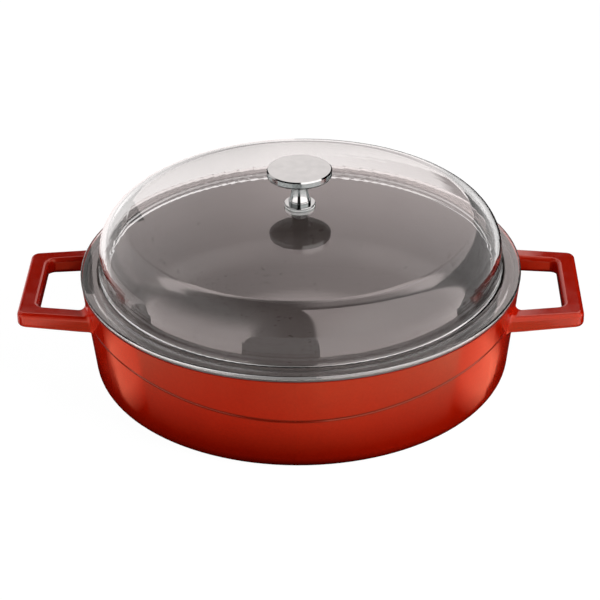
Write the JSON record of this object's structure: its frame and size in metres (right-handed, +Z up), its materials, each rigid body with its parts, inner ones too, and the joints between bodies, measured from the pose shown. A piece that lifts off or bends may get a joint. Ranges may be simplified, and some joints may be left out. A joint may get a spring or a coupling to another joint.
{
  "type": "lidded cast iron pot",
  "caption": "Low round enamelled cast iron pot with loop handles and a domed clear glass lid that lifts off by a turned metal knob.",
  "frame": {"origin": "centre of the pot's flat base, on the surface that it stands on", "axes": "+Z up along the axis of the pot and lid, +X along the line through both handles, +Y towards the back"},
  "size_m": [0.369, 0.2904, 0.1424],
  "materials": {
    "cast_iron": "bare grey iron, seasoned dark, at the rim and base",
    "red_enamel": "glossy vitreous enamel, deep orange red",
    "grey_enamel": "satin vitreous enamel, warm mid grey",
    "clear_glass": "clear pressed glass, fire polished",
    "silicone": "translucent food grade silicone",
    "polished_metal": "turned and mirror polished, bright plated",
    "steel": "stainless steel, plain machined"
  },
  "bodies": {
    "pot": {"pot_casting": "cast_iron", "exterior_enamel": "red_enamel", "interior_enamel": "grey_enamel"},
    "lid_knob": {"knob": "polished_metal", "knob_collar": "polished_metal", "backing_washer": "steel", "lock_washer": "steel", "knob_screw": "steel"},
    "lid_glass": {"glass_lid": "clear_glass", "upper_gasket": "silicone", "lower_gasket": "silicone"}
  },
  "joints": [
    {"name": "lid_lift", "type": "slide", "parent": "pot", "child": "lid_knob", "axis": [0, 0, 1], "range_m": [0, 0.12]},
    {"name": "lid_turn", "type": "hinge", "parent": "lid_knob", "child": "lid_glass", "pos_m": [0, 0, 0.1155], "axis": [0, 0, 1], "continuous": true}
  ]
}
